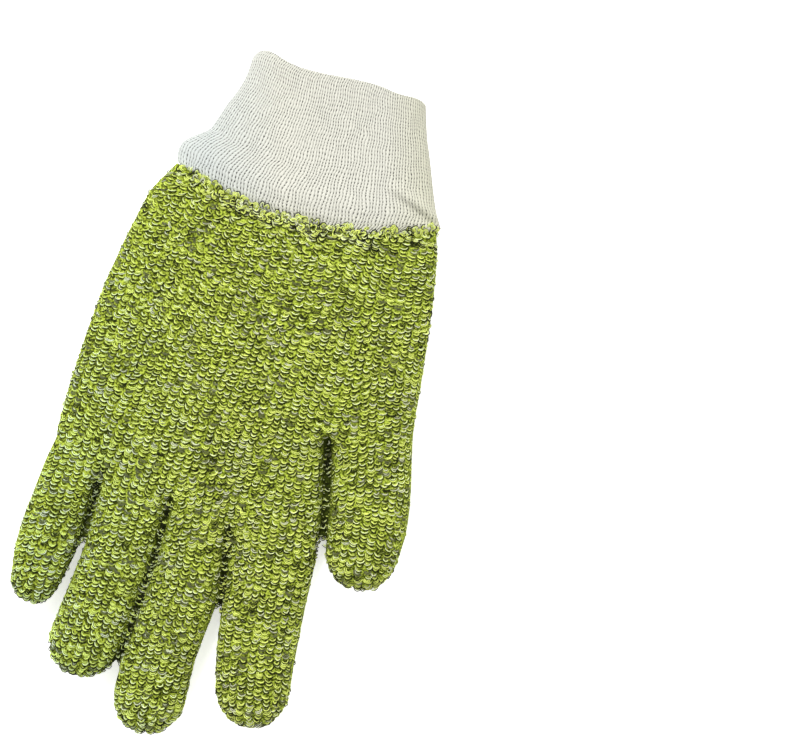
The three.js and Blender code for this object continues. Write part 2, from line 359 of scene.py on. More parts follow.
# One strand bent into an arch of radius 1, made once and copied
def archStrand(bends, sides, start, radius=0.2):
    deselectAll()
    bpy.ops.mesh.primitive_circle_add(vertices=sides, radius=radius, fill_type="NGON",
                                      location=(math.cos(start), 0, math.sin(start)),
                                      rotation=(0, -start, 0))
    arch = bpy.context.object
    bpy.ops.object.transform_apply(location=True, rotation=True, scale=True)
    bpy.ops.object.mode_set(mode="EDIT")
    bpy.ops.mesh.select_all(action="SELECT")
    bpy.ops.mesh.spin(steps=bends, angle=math.pi - 2 * start, center=(0, 0, 0), axis=(0, 1, 0))
    bpy.ops.mesh.select_all(action="SELECT")
    bpy.ops.mesh.remove_doubles(threshold=1e-5)
    bpy.ops.mesh.normals_make_consistent(inside=False)
    bpy.ops.object.mode_set(mode="OBJECT")
    places = np.array([v.co for v in arch.data.vertices])
    faces = [list(p.vertices) for p in arch.data.polygons]
    bpy.data.objects.remove(arch)
    along = np.arctan2(places[:, 2], places[:, 0]) / math.pi
    ring = np.stack([np.cos(along * math.pi), np.zeros(len(places)), np.sin(along * math.pi)], 1)
    off = (places - ring) / radius
    around = np.arctan2(off[:, 1], (off * ring).sum(1)) / (2 * math.pi)
    corners, total, uv, isCap = [], [], [], []
    for face in faces:
        us, vs = along[face], around[face]
        cap = us.max() - us.min() < 0.5 / bends
        if cap:
            vs = vs % 1
        else:  # a face across the map's edge stays in one piece
            centre = np.angle(np.exp(2j * math.pi * vs).sum()) / (2 * math.pi)
            vs = centre + (vs - centre + 0.5) % 1 - 0.5
            vs = vs - math.floor(vs.min() + 1e-6)
        corners += face
        total.append(len(face))
        uv += list(zip(us, vs))
        isCap += [cap] * len(face)
    return dict(ring=ring, off=off, along=along, corners=np.array(corners),
                total=np.array(total), uv=np.array(uv), cap=np.array(isCap))


strand = archStrand(pileSettings["bends"], pileSettings["sides"], math.radians(pileSettings["start"]))
strandCount = len(pileSettings["strand"])
print("arch strand", len(strand["total"]), "faces")


def castDown(x, y, side, clear=0.06):
    start = Vector((x * mm, y * mm, clear * side))
    place, normal, _, _ = skinTree.ray_cast(start, Vector((0, 0, -side)))
    if place is None:
        return None
    if normal.z * side < 0:
        normal = -normal
    return np.array(place) / mm, np.array(normal)


def polygonOf(index):
    left = partings[index - 1] if index else None
    right = partings[index] if index < len(partings) else None
    side, above, below = (planReach[k] for k in ("side", "top", "bottom"))
    edges = []
    for parting, far in ((left, -side), (right, side)):
        if parting is None:
            edge = [(far, above), (far, below)]
        else:
            top = seamPoint(parting["share"])
            edge = [(top[0] + (top[0] - parting["line"][0][0]) * 0.5, above), tuple(top)]
            edge += parting["line"]
        edges.append(edge)
    return np.array(edges[0] + edges[1][::-1]) + shift


def inside(polygon, x, y):
    a, b = polygon, np.roll(polygon, -1, 0)
    hits = (a[:, 1] > y) != (b[:, 1] > y)
    cross = a[:, 0] + (y - a[:, 1]) * (b[:, 0] - a[:, 0]) / (b[:, 1] - a[:, 1] + 1e-12)
    return np.count_nonzero(hits & (x < cross)) % 2 == 1


# Walks from the band's middle to one edge of it, and gives the surface points on the way
def rowProfile(polygon, centre, across, side, step=0.6, finest=0.03, most=60):
    points = []
    offset = 0.0
    while offset < most:
        x, y = centre + across * offset
        hit = castDown(x, y, side) if inside(polygon, x, y) else None
        if hit is None:
            if step < finest:
                break
            offset -= step
            step /= 4
            offset += step
            continue
        points.append(hit)
        offset += step
    return points


def sampleBand(name, index, steps=1200):
    band = bands[name]
    top = seamPoint(band["share"])
    line = smoothRows([tuple(top)] + band["line"], steps) + shift
    tangent = np.gradient(line, axis=0)
    tangent /= np.linalg.norm(tangent, axis=1)[:, None]
    polygon = polygonOf(index)
    found = []
    for side in (1, -1):
        last, run = None, 0.0
        nextRow = pileSettings["firstRow"]
        for k in range(len(line)):
            hit = castDown(*line[k], side)
            if hit is None:
                continue
            if last is not None:
                run += np.linalg.norm(hit[0] - last)
            last = hit[0]
            if run < nextRow:
                continue
            nextRow += pileSettings["row"]
            found += sampleRow(polygon, line[k], tangent[k], side)
    return found


# A spot is a place, its normal, the way that the loop leans, its room across and its column
def sampleRow(polygon, centre, tangent, side):
    spots = []
    pitch = pileSettings["column"]
    for hand in (1, -1):
        across = np.array([-tangent[1], tangent[0]]) * hand
        profile = rowProfile(polygon, centre, across, side)
        if len(profile) < 2:
            continue
        places = np.array([p[0] for p in profile])
        normals = np.array([p[1] for p in profile])
        arc = arcLength(places)
        count = max(0, round(arc[-1] / pitch - 0.5))
        spacing = arc[-1] / (count + 0.5) if arc[-1] > pitch * 0.5 else pitch
        for j in range(0 if hand == 1 else 1, count + 1):
            want = j * spacing
            if want > arc[-1]:
                continue
            place = [np.interp(want, arc, places[:, k]) for k in range(3)]
            normal = [np.interp(want, arc, normals[:, k]) for k in range(3)]
            spots.append((place, normal, tangent, spacing, j * hand))
    return spots


# Where the pile is untidy, and where its loops are long
wearSettings = dict(  # mm
    upper=50,  # the upper palm, which is worn flat, starts here on a slanting line
    upperSlant=0.35,
    upperFade=10,
    tip=14,
    patch=16,
    finger=(-10, 40),  # start, and length over which the loops grow
)
wildBy = dict(base=0.2, upper=0.45, tip=0.6, patch=0.5)
longerBy = dict(base=0.9, upper=-0.1, finger=0.12, tip=0.3, patch=0.2)


def wear(place, ends):
    below = wearSettings["upper"] - place[:, 1] + wearSettings["upperSlant"] * place[:, 0]
    upper = 1 / (1 + np.exp(below / wearSettings["upperFade"]))
    far = np.min([np.hypot(place[:, 0] - end[0], place[:, 1] - end[1]) for end in ends], 0)
    tip = np.clip(1 - far / wearSettings["tip"], 0, 1)
    patch = patchNoise(place, wearSettings["patch"])
    start, length = wearSettings["finger"]
    finger = np.clip((start - place[:, 1]) / length, 0, 1)
    parts = dict(base=1, upper=upper, finger=finger, tip=tip, patch=patch)
    wild, longer = (sum(by[key] * parts[key] for key in by) for by in (wildBy, longerBy))
    return np.clip(wild, 0, 1), longer


# How a loop stands at each spot: its place, two directions, half width and reach
def standLoops(spots, wild, longer, settings):
    place = np.array([s[0] for s in spots], float)
    normal = unit(np.array([s[1] for s in spots], float))
    down = np.array([[s[2][0], s[2][1], 0] for s in spots], float)
    spacing = np.array([s[3] for s in spots], float)
    column = np.array([s[4] for s in spots])
    n = len(spots)
    edge = 1 - np.abs(normal[:, 2])  # 1 at the sides of the hand
    down = unit(down - (down * normal).sum(1)[:, None] * normal)
    side = np.cross(normal, down)
    sway = patchNoise(place, scatter["swaySize"], (7, 3, 1))
    wild = wild * (1 - atSides["tidier"] * edge)
    spin = sway * scatter["sway"] + dice.normal(0, scatter["spin"], n)
    spin += wild * dice.normal(0, scatter["wildSpin"], n)
    down, side = (down * np.cos(spin)[:, None] + side * np.sin(spin)[:, None],
                  side * np.cos(spin)[:, None] - down * np.sin(spin)[:, None])
    lean = settings["lean"] + dice.normal(0, scatter["lean"], n)
    lean -= wild * dice.uniform(0, scatter["wildLean"], n)
    flat = edge * (1 - np.clip((longer - atSides["long"]) / atSides["longOver"], 0, 1))
    lean = np.radians(np.minimum(lean + flat * atSides["lean"], atSides["mostLean"]))
    rise = normal * np.cos(lean)[:, None] + down * np.sin(lean)[:, None]
    width = spacing / settings["column"] * settings["width"] / 2
    width *= dice.normal(1, scatter["width"], n) * (1 - scatter["wildNarrower"] * wild)
    reach = settings["reach"] * dice.normal(1, scatter["reach"], n) * longer
    reach *= 1 - atSides["shorter"] * edge
    reach *= np.where(place[:, 2] < pileSettings["low"][0], pileSettings["low"][1], 1)
    slide = (column * pileSettings["stagger"] % 1) * pileSettings["row"]
    slide = slide + dice.normal(0, scatter["along"], n) * (1 + wild)
    aside = dice.normal(0, scatter["aside"], n) * (1 + wild)
    place = place + side * aside[:, None] + down * slide[:, None]
    sunk = settings.get("sink", pileSettings["sink"]) * (1 + atSides["deeper"] * edge)
    return place - normal * sunk[:, None], side, rise, width, reach


# Copies the three strands to every spot, as one mesh
def pileMesh(name, spots, wild, longer, settings):
    n = len(spots)
    place, side, rise, width, reach = standLoops(spots, wild, longer, settings)
    skew = dice.normal(0, scatter["skew"], n)
    thick = np.cross(side, rise)
    greyPatch = patchNoise(place, scatter["greySize"], (1, 9, 4))
    grey = dice.rand(n) < pileSettings["grey"] * (1 + scatter["greyPatch"] * greyPatch)
    start = dice.uniform(-scatter["ply"], scatter["ply"], n) + pileSettings["firstTurn"]
    ring, along = strand["ring"], strand["along"]
    parts = []
    for k in range(strandCount):
        turn = start[:, None] + 360 / strandCount * k + pileSettings["twist"] * (along[None] - 0.5)
        turn = np.radians(turn)
        out = pileSettings["spread"][0] * np.cos(turn)
        half = pileSettings["strand"][k] * settings.get("thicker", 1)
        outOff = (strand["off"] * ring).sum(1) * half
        local = ring[None] * np.stack([width, np.ones(n), reach], 1)[:, None, :]
        local[:, :, 0] += skew[:, None] * ring[None, :, 2] * width[:, None]
        local[:, :, 0] += (outOff[None] + out) * ring[None, :, 0]
        local[:, :, 2] += (outOff[None] + out) * ring[None, :, 2]
        local[:, :, 1] = half * strand["off"][None, :, 1]
        local[:, :, 1] += pileSettings["spread"][1] * np.sin(turn)
        world = (
            place[:, None]
            + local[:, :, :1] * side[:, None]
            + local[:, :, 1:2] * thick[:, None]
            + local[:, :, 2:] * rise[:, None]
        )
        low = pileSettings["table"]
        pressed = low * np.exp(np.minimum(world[:, :, 2] - low, 0) / low)
        world[:, :, 2] = np.where(world[:, :, 2] < low, pressed, world[:, :, 2])
        parts.append((world, strandTone(k, grey, settings)))
    return joinedPile(name, parts, n)


toneNames = ("lime", "pale", "olive", "grey", "white")
strandOdds = [(0.52, 0.42), (0.1, 0.0), (0.85, 0.07)]  # of lime and of pale lime, the rest is olive
greyOdds = dict(grey=0.5, white=0.6)  # in a grey loop; white is of what is left


# Each strand's own lightness, its colour's place in toneNames and a spare chance
def strandTone(k, grey, settings):
    n = len(grey)
    lime, pale = strandOdds[k]
    draw = dice.rand(n)
    kind = np.where(draw < lime, 0, np.where(draw < lime + pale, 1, 2))
    isGrey = dice.rand(n) < greyOdds["grey"]
    isWhite = dice.rand(n) < greyOdds["white"]
    kind = np.where(grey, np.where(isGrey, 3, np.where(isWhite, 4, 0)), kind)
    # a share of strands made olive; the crease loops use it for painted shade
    kind = np.where(dice.rand(n) < settings.get("dark", 0), 2, kind)
    kind = np.where((dice.rand(n) < settings.get("light", 0)) & (kind > 1), 0, kind)
    return np.stack([dice.rand(n), (kind + 0.5) / len(toneNames), dice.rand(n)], 1)


# In the bake's UV map each loop has a square cell with a strip for each strand: the strand's
# sides in the strip's middle, and the two small end caps at its ends
bakeStrip = dict(start=0.08, length=0.84, caps=(0.03, 0.97), capSize=(0.015, 0.02), edge=0.1,
                 height=0.8, wrap=1.34)


def bakePlaces(k):
    uv, cap = strand["uv"], strand["cap"]
    first, last = bakeStrip["caps"]
    wide, high = bakeStrip["capSize"]
    around = uv[:, 1] * 2 * math.pi
    u = bakeStrip["start"] + bakeStrip["length"] * uv[:, 0]
    u = np.where(cap, np.where(uv[:, 0] < 0.5, first, last), u)
    u = u + np.where(cap, wide * np.cos(around), 0)
    v = np.where(cap, 0.5, np.clip(uv[:, 1] / bakeStrip["wrap"], 0, 1))
    v = (k + bakeStrip["edge"]) / strandCount + bakeStrip["height"] / strandCount * v
    v = v + np.where(cap, high * np.sin(around), 0)
    return u, v


def joinedPile(name, parts, n):
    places, corners, totals, yarnUv, bakeUv, tone = [], [], [], [], [], []
    cells = math.ceil(math.sqrt(n))
    cellX = (np.arange(n) % cells) / cells
    cellY = (np.arange(n) // cells) / cells
    for k, (world, strandTones) in enumerate(parts):
        count = world.shape[1]
        first = count * (np.arange(n) + n * k)
        places.append(world.reshape(-1, 3) * mm)
        corners.append((strand["corners"][None] + first[:, None]).ravel())
        totals.append(np.tile(strand["total"], n))
        yarn = np.repeat(strand["uv"][None], n, 0).copy()
        yarn[:, :, 0] += dice.rand(n, 1) * scatter["fibres"]
        yarnUv.append(yarn.reshape(-1, 2))
        u, v = bakePlaces(k)
        bake = np.stack([cellX[:, None] + u[None] / cells, cellY[:, None] + v[None] / cells], 2)
        bakeUv.append(bake.reshape(-1, 2))
        tone.append(np.repeat(strandTones, count, 0))
    places = np.concatenate(places)
    corners = np.concatenate(corners)
    totals = np.concatenate(totals)
    mesh = bpy.data.meshes.new(name)
    mesh.vertices.add(len(places))
    mesh.vertices.foreach_set("co", places.ravel())
    mesh.loops.add(len(corners))
    mesh.loops.foreach_set("vertex_index", corners)
    mesh.polygons.add(len(totals))
    mesh.polygons.foreach_set("loop_start", np.concatenate([[0], np.cumsum(totals)[:-1]]))
    mesh.update(calc_edges=True)
    mesh.polygons.foreach_set("use_smooth", np.ones(len(totals), bool))
    mesh.uv_layers.new(name="yarn").uv.foreach_set("vector", np.concatenate(yarnUv).ravel())
    mesh.uv_layers.new(name="OFBake").uv.foreach_set("vector", np.concatenate(bakeUv).ravel())
    layer = mesh.attributes.new("tone", "FLOAT_VECTOR", "POINT")
    layer.data.foreach_set("vector", np.concatenate(tone).ravel())
    mesh.validate()
    obj = bpy.data.objects.new(name, mesh)
    bpy.context.scene.collection.objects.link(obj)
    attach(obj, "root")
    return obj


# At the fingertips the loops point outward from a middle point, and none stands in a crease
tipSettings = dict(
    middle=9,  # from the finger's end to the point, mm
    reach=13,
    turn=1.4,
    bare=0.55,
)


def turnTips(spots, tips):
    places = np.array([s[0] for s in spots])
    near = np.min([toLine(places, parting["line"]) for parting in partings], 0)
    reach = tipSettings["reach"]
    kept = []
    for spot, d in zip(spots, near):
        if d < tipSettings["bare"]:
            continue
        for end, middle in tips:
            far = np.hypot(*(spot[0][:2] - end))
            if far < reach:
                out = unit(np.array(spot[0][:2]) - middle)
                outward = out * (1 - far / reach) * tipSettings["turn"]
                way = unit(spot[2] * min(1, far / reach) + outward)
                spot = (spot[0], spot[1], way, *spot[3:])
        kept.append(spot)
    return kept


# Loops in the bottom of each crease, with a share of their strands made olive (dark) to paint the
# crease's shade
creaseSettings = dict(
    step=1.15, column=3.0, width=2.2, reach=1.9, lean=50, dark=0.4, sink=-0.1, wild=0.4,
    first=0.5,  # along the crease, mm
    longest=62,
    aside=0.7,
    way=(-0.15, 0.45),  # how far they turn to the side: mean and spread
)


def sampleCreases(steps=400):
    spots = []
    for parting in partings:
        line = evenCurve(parting["line"][:-1], steps) + shift
        run = arcLength(line)
        for side in (1, -1):
            for want in np.arange(creaseSettings["first"], run[-1], creaseSettings["step"]):
                spot = np.array([np.interp(want, run, line[:, k]) for k in range(2)])
                spot += dice.uniform(-creaseSettings["aside"], creaseSettings["aside"], 2)
                hit = castDown(*spot, side)
                if hit is None or want > creaseSettings["longest"]:
                    continue
                way = unit(np.array([dice.normal(*creaseSettings["way"]), -1.0]))
                spots.append((hit[0], hit[1], way, creaseSettings["column"], 0))
    return spots


# Larger, curlier loops that stand over the cuff along the seam
seamSettings = dict(
    step=1.45, column=2.6, width=2.3, reach=2.6, lean=62, light=0.3, thicker=1.05, wild=0.6,
    rows=(-0.2, 0.5, 1.2, 2.2, 3.2),  # from the seam, mm
    overCuff=2,  # so many rows all lean over the cuff, and half of the loops of the others turn back
    shares=0.975,  # the rows end here on the seam
    jitter=0.3,  # of the step
    turn=0.6,  # radians
)
seamLift = dict(  # how far the loops' roots go over the cuff, mm
    x=(-17, -8, 0, 8, 15, 30, 50, 65, 79),
    rise=(0.6, -0.6, -0.8, -0.3, 0.5, 1.0, 1.1, 1.4, 1.8),
    drop=0.1,
)


def sampleSeam():
    spots = []
    count = round(seam["length"] / seamSettings["step"])
    wide, jitter = seamSettings["shares"], seamSettings["jitter"]
    for side in (1, -1):
        for row, depth in enumerate(seamSettings["rows"]):
            for k in range(count):
                share = -wide + 2 * wide * (k + 0.5 * row + dice.uniform(-jitter, jitter)) / count
                x, y = seamPoint(share) + shift - wristward * depth
                hit = castDown(x, y, side)
                if hit is None:
                    continue
                turn = dice.normal(0, seamSettings["turn"])
                if row >= seamSettings["overCuff"]:
                    turn += math.pi * dice.randint(0, 2)
                way = np.array([
                    wristward[0] * math.cos(turn) - wristward[1] * math.sin(turn),
                    wristward[1] * math.cos(turn) + wristward[0] * math.sin(turn),
                ])
                lift = np.interp(x, seamLift["x"], seamLift["rise"])
                root = hit[0] + np.array([*wristward, -seamLift["drop"]]) * lift
                spots.append((root, hit[1], way, seamSettings["column"], 0))
    return spots


def evenPile(name, spots, settings):
    print("pile", name, len(spots), "loops")
    return pileMesh("pile_" + name, spots, np.full(len(spots), settings["wild"]), 1.0, settings)


piles = []
tips = []
for band in bands.values():
    line = np.array(band["line"], float) + shift
    tips.append((line[-1], line[-1] - unit(line[-1] - line[-2]) * tipSettings["middle"]))
for index, name in enumerate(bands):
    spots = turnTips(sampleBand(name, index), tips)
    wild, longer = wear(np.array([s[0] for s in spots]), [end for end, middle in tips])
    piles.append(pileMesh("pile_" + name, spots, wild, longer, pileSettings))
    triangles = sum(len(p.vertices) - 2 for p in piles[-1].data.polygons)
    print("pile", name, len(spots), "loops", triangles, "triangles")
piles.append(evenPile("seam", sampleSeam(), seamSettings))
piles.append(evenPile("creases", sampleCreases(), creaseSettings))

# The knit cuff
cuffSettings = dict(
    wales=166,
    courses=45,
    around=250,  # faces around and along
    along=70,
    wall=1.0,  # mm
    squareness=2.6,  # of its section, 2 is an oval
    dip=1.2,  # that the underside is rounder than its flat rest, mm
    hem=7.5,  # into the palm's mouth, mm
    hemRows=10,
    hemUp=0.16,  # the hem's part of the table below
    hemNarrower=0.035,
    backEdge=(0.9, 0.1, 0.9),  # the lower layer goes on past the upper edge: from, over, by mm
    hemTight=4,  # the hem has its own width after a fourth of its length
    layerEdge=(2, 1.5),  # how sharply the lower and upper layer end at the cuff's sides
    foldFade=30,  # the fold ends at the seam
    flatBelow=0.6,  # rows with an underside under this height lie on the table, mm
)
cuffEdges = dict(  # in plan, mm
    left=[(-17.6, 86.4), (-17.3, 89.8), (-15.8, 93.2), (-12.9, 95.1), (-8.6, 97.0), (-5.6, 98.4),
          (-2.1, 103.2), (1.5, 108.6), (5.2, 113.4), (8.2, 118.8), (9.6, 122.8), (10.8, 125.9),
          (13.4, 128.1)],
    right=[(81.2, 60.6), (79.5, 66.6), (78.5, 73.2), (77.7, 80.8), (76.9, 88.3), (76.1, 94.2),
           (75.7, 101.6), (75.6, 107.3)],
    seam=[(-17.6, 86.4), (-9.6, 81.2), (1.7, 74.8), (9.2, 71.4), (16.7, 68.4), (24.2, 66.2),
          (31.7, 64.7), (46.7, 61.9), (69.2, 61.1), (81.2, 60.6)],
    top=[(13.4, 128.1), (17.2, 127.2), (24.0, 123.0), (27.8, 121.2), (35.4, 118.9), (42.9, 117.4),
         (48.6, 116.3), (57.9, 114.0), (65.4, 111.0), (72.9, 109.2), (75.6, 107.3)],
)
cuffHeights = [  # share of the way up, underside, top
    (-0.16, 3.6, 15.8), (-0.03, 3.4, 16.1), (0, 2.9, 16.6), (0.035, 1.8, 17.6), (0.09, 0.6, 18.2),
    (0.15, 0, 18.2), (0.3, 0, 17.3), (0.5, 0, 16.2), (0.75, 0, 15.0), (1, 0, 13.7),
]
cuffFold = dict(start=(60.5, 74.5), end=(81.0, 60.2), depth=2.4, width=1.3, ridge=2.2,
                ridgeAway=2.9, ridgeWidth=2.2, fade=0.7)


# A patch that meets all four of the cuff's edges: up is 0 at the seam, across is 0 at the left
def cuffPlan(up, across, count=801):
    edges = {key: evenCurve(points, count) for key, points in cuffEdges.items()}

    def at(key, where):
        where = np.clip(where, 0, 1) * (count - 1)
        return np.stack([np.interp(where, np.arange(count), edges[key][:, k]) for k in range(2)], -1)

    t, u = up[..., None], across[..., None]
    corners = [edges["left"][0], edges["right"][0], edges["left"][-1], edges["right"][-1]]
    return (
        (1 - u) * at("left", up) + u * at("right", up)
        + (1 - t) * at("seam", across) + t * at("top", across)
        - (1 - t) * (1 - u) * corners[0] - (1 - t) * u * corners[1]
        - t * (1 - u) * corners[2] - t * u * corners[3]
    )


# The deep fold at the lower right: a valley, with a ridge beside it
def foldRise(plan):
    start, end = np.array(cuffFold["start"]), np.array(cuffFold["end"])
    along = (end - start) / np.linalg.norm(end - start)
    rel = plan - start
    run = rel @ along / np.linalg.norm(end - start)
    off = rel @ np.array([-along[1], along[0]])  # positive toward the upper right
    fade = np.clip(run, 0, 1) ** cuffFold["fade"]
    valley = np.exp(-((off / cuffFold["width"]) ** 2))
    ridge = np.exp(-(((off - cuffFold["ridgeAway"]) / cuffFold["ridgeWidth"]) ** 2))
    return fade * (cuffFold["ridge"] * ridge - cuffFold["depth"] * valley)


def cuffPlaces(steps=721):
    hemRows, hemUp = cuffSettings["hemRows"], cuffSettings["hemUp"]
    alongRows, around = cuffSettings["along"], cuffSettings["around"]
    ups = np.concatenate([np.linspace(-hemUp, 0, hemRows, endpoint=False),
                          np.linspace(0, 1, alongRows + 1 - hemRows)])
    heights = np.array(cuffHeights)
    turn = np.linspace(0, 2 * math.pi, steps)
    power = 2 / cuffSettings["squareness"]
    share = np.sign(np.cos(turn)) * np.abs(np.cos(turn)) ** power
    rise = np.sign(np.sin(turn)) * np.abs(np.sin(turn)) ** power
    backFrom, backOver, backEdge = cuffSettings["backEdge"]
    lowerEdge, upperEdge = cuffSettings["layerEdge"]
    out = np.zeros((len(ups), around + 1, 3))
    for i, up in enumerate(ups):
        low, high = (np.interp(up, heights[:, 0], heights[:, k]) for k in (1, 2))
        tuck = np.clip(-up / hemUp, 0, 1)
        narrow = cuffSettings["hemNarrower"] * 2 * min(1, tuck * cuffSettings["hemTight"])
        across = (share * (1 - narrow) + 1) / 2
        plan = cuffPlan(np.full(len(share), max(up, 0)), across)
        plan = plan - wristward * cuffSettings["hem"] * tuck
        back = np.clip((up - backFrom) / backOver, 0, 1) * np.clip(-rise * lowerEdge, 0, 1)
        plan = plan + wristward * backEdge * back[:, None]
        dip = cuffSettings["dip"] if low < cuffSettings["flatBelow"] else 0
        z = np.maximum(low, (low - dip + high) / 2 + (high - low + dip) / 2 * rise)
        onTop = np.clip(rise * upperEdge, 0, 1) * foldRise(plan)
        z = z + onTop * np.clip(1 + up * cuffSettings["foldFade"], 0, 1)
        loop = np.column_stack([plan + shift, z])
        arc = arcLength(loop)
        want = np.linspace(0, arc[-1], around + 1)
        out[i] = np.stack([np.interp(want, arc, loop[:, k]) for k in range(3)], 1)
    return out


def makeCuff():
    deselectAll()
    bpy.ops.mesh.primitive_grid_add(x_subdivisions=cuffSettings["around"],
                                    y_subdivisions=cuffSettings["along"], size=1)
    cuff = bpy.context.object
    cuff.name = "cuff_knit"
    places = cuffPlaces()
    grid = np.array([v.co for v in cuff.data.vertices])
    column = np.rint((grid[:, 0] + 0.5) * cuffSettings["around"]).astype(int)
    row = np.rint((grid[:, 1] + 0.5) * cuffSettings["along"]).astype(int)
    cuff.data.vertices.foreach_set("co", (places[row, column] * mm).ravel())
    bpy.ops.object.mode_set(mode="EDIT")
    bpy.ops.mesh.select_all(action="SELECT")
    bpy.ops.mesh.remove_doubles(threshold=2e-5)
    bpy.ops.mesh.normals_make_consistent(inside=False)
    bpy.ops.object.mode_set(mode="OBJECT")
    applyModifier(cuff, "SOLIDIFY", thickness=cuffSettings["wall"] * mm, offset=-1)
    makeActive(cuff)
    bpy.ops.object.shade_smooth()
    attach(cuff, "root")
    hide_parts("knit_cuff")
    return cuff


cuff = makeCuff()
print("cuff", len(cuff.data.polygons), "faces")


# Materials
def colour(r, g, b):  # sRGB, 0 to 255
    def straight(c):
        c /= 255
        return c / 12.92 if c <= 0.04045 else ((c + 0.055) / 1.055) ** 2.4
    return (straight(r), straight(g), straight(b), 1)


# Adds a node and gives its outputs. An input takes a value, or another node's output
def add(tree, kind, inputs=None, **settings):
    node = tree.nodes.new("ShaderNode" + kind)
    for key, value in settings.items():
        setattr(node, key, value)
    for key, value in (inputs or {}).items():
        if isinstance(value, (int, float, tuple)):
            node.inputs[key].default_value = value
        else:
            tree.links.new(value, node.inputs[key])
    return node.outputs


def calc(tree, operation, a, b=0.0):
    return add(tree, "Math", {0: a, 1: b}, operation=operation)[0]


def limited(tree, value):
    return calc(tree, "MINIMUM", calc(tree, "MAXIMUM", value, 0.0), 1.0)


def mixColour(tree, factor, a, b, blend="MIX"):
    return add(tree, "Mix", {0: factor, 6: a, 7: b}, data_type="RGBA", blend_type=blend)[2]


def tinted(tree, base, amount, tint):
    soft = mixColour(tree, amount, (1, 1, 1, 1), (*tint, 1))
    return mixColour(tree, 1.0, base, soft, "MULTIPLY")


def shaded(tree, base, value):
    return add(tree, "VectorMath", {0: base, "Scale": value}, operation="SCALE")[0]


def axes(tree, vector):
    return add(tree, "SeparateXYZ", {0: vector})


def noiseAt(tree, place, scale, detail):
    return add(tree, "TexNoise", {"Vector": place, "Scale": scale, "Detail": detail})


def newMaterial(name):
    material = bpy.data.materials.new(name)
    material.use_nodes = True
    return material, material.node_tree


# Gives the shader its colour, its relief and its plain values
def finishMaterial(tree, base, height, looks):
    shader = tree.nodes["Principled BSDF"].inputs
    distance, strength = looks["bump"]
    bump = add(tree, "Bump", {"Height": height, "Distance": distance, "Strength": strength})
    tree.links.new(base, shader["Base Color"])
    tree.links.new(bump[0], shader["Normal"])
    for name, value in looks["shader"].items():
        shader[name].default_value = value


# Cotton fibre, shared by the yarn, its backing and the cuff: fine uneven shade and fuzz
def cottonGroup():
    tree = bpy.data.node_groups.new("cottonFibre", "ShaderNodeTree")
    for name, default in (("Scale", 900.0), ("Amount", 0.2)):
        socket = tree.interface.new_socket(name, in_out="INPUT", socket_type="NodeSocketFloat")
        socket.default_value = default
    for name in ("Shade", "Fuzz"):
        tree.interface.new_socket(name, in_out="OUTPUT", socket_type="NodeSocketFloat")
    given = tree.nodes.new("NodeGroupInput").outputs
    result = tree.nodes.new("NodeGroupOutput").inputs
    place = add(tree, "TexCoord")["Object"]
    fuzz = noiseAt(tree, place, given["Scale"], 3)["Fac"]
    swing = calc(tree, "MULTIPLY", calc(tree, "SUBTRACT", fuzz, 0.5), given["Amount"])
    tree.links.new(calc(tree, "ADD", 1.0, calc(tree, "MULTIPLY", swing, 2.0)), result["Shade"])
    tree.links.new(fuzz, result["Fuzz"])
    return tree


def addCotton(tree, scale, amount):
    return add(tree, "Group", {"Scale": scale, "Amount": amount}, node_tree=cotton)


cotton = cottonGroup()

yarnLooks = dict(
    lime=colour(218, 230, 115),
    pale=colour(228, 238, 172),
    olive=colour(30, 35, 0),
    grey=colour(98, 102, 66),
    white=colour(206, 210, 174),
    leftTint=(0.9, 1.0, 1.1),  # cooler light on the left half
    leftSlope=15.0,
    fibre=(1100, 0.22),  # scale and amount
    shades=(0.84, 0.3),  # the darkest strand, and how much lighter the lightest is
    grooves=(5, 3),  # twisted fibres along and around a strand
    bump=(0.00006, 0.6),  # distance and strength
    shader={"Roughness": 0.86, "Specular IOR Level": 0.15, "Sheen Weight": 0.03,
            "Sheen Roughness": 0.4},
)


def yarnMaterial(looks):
    material, tree = newMaterial("limeTerryYarn")
    m = lambda *a: calc(tree, *a)
    along, around, _ = axes(tree, add(tree, "UVMap", uv_map="yarn")[0])
    tone = add(tree, "Attribute", attribute_name="tone")["Vector"]
    lightness, kind, _ = axes(tree, tone)
    ramp = tree.nodes.new("ShaderNodeValToRGB")
    ramp.color_ramp.interpolation = "CONSTANT"
    stops = ramp.color_ramp.elements
    for k, key in enumerate(toneNames):
        stop = stops[k] if k < len(stops) else stops.new(k / len(toneNames))
        stop.position = k / len(toneNames)
        stop.color = looks[key]
    tree.links.new(kind, ramp.inputs[0])
    fibre = addCotton(tree, *looks["fibre"])
    darkest, lighter = looks["shades"]
    shade = m("MULTIPLY", fibre["Shade"], m("ADD", darkest, m("MULTIPLY", lightness, lighter)))
    x = axes(tree, add(tree, "TexCoord")["Object"])[0]
    leftward = limited(tree, m("MULTIPLY", m("SUBTRACT", 0.0, x), looks["leftSlope"]))
    base = tinted(tree, ramp.outputs[0], leftward, looks["leftTint"])
    base = shaded(tree, base, shade)
    alongTurns, aroundTurns = looks["grooves"]
    slant = m("ADD", m("MULTIPLY", around, aroundTurns), m("MULTIPLY", along, alongTurns))
    groove = m("SINE", m("MULTIPLY", slant, 2 * math.pi))
    finishMaterial(tree, base, m("ADD", groove, fibre["Fuzz"]), looks)
    return material


backingLooks = dict(
    dark=colour(56, 65, 5),
    light=colour(164, 180, 64),
    # the colour of the painted shade in the creases
    crease=colour(34, 42, 4),
    paintedCreaseShade=(1.4, 0.95),  # gain and the most
    fibre=(1300, 0.2),
    patches=(0.42, 5.0),  # where the light fibres start in the fuzz, and how sharply
    bump=(0.0003, 1.0),
    shader={"Roughness": 0.95, "Specular IOR Level": 0.1},
)


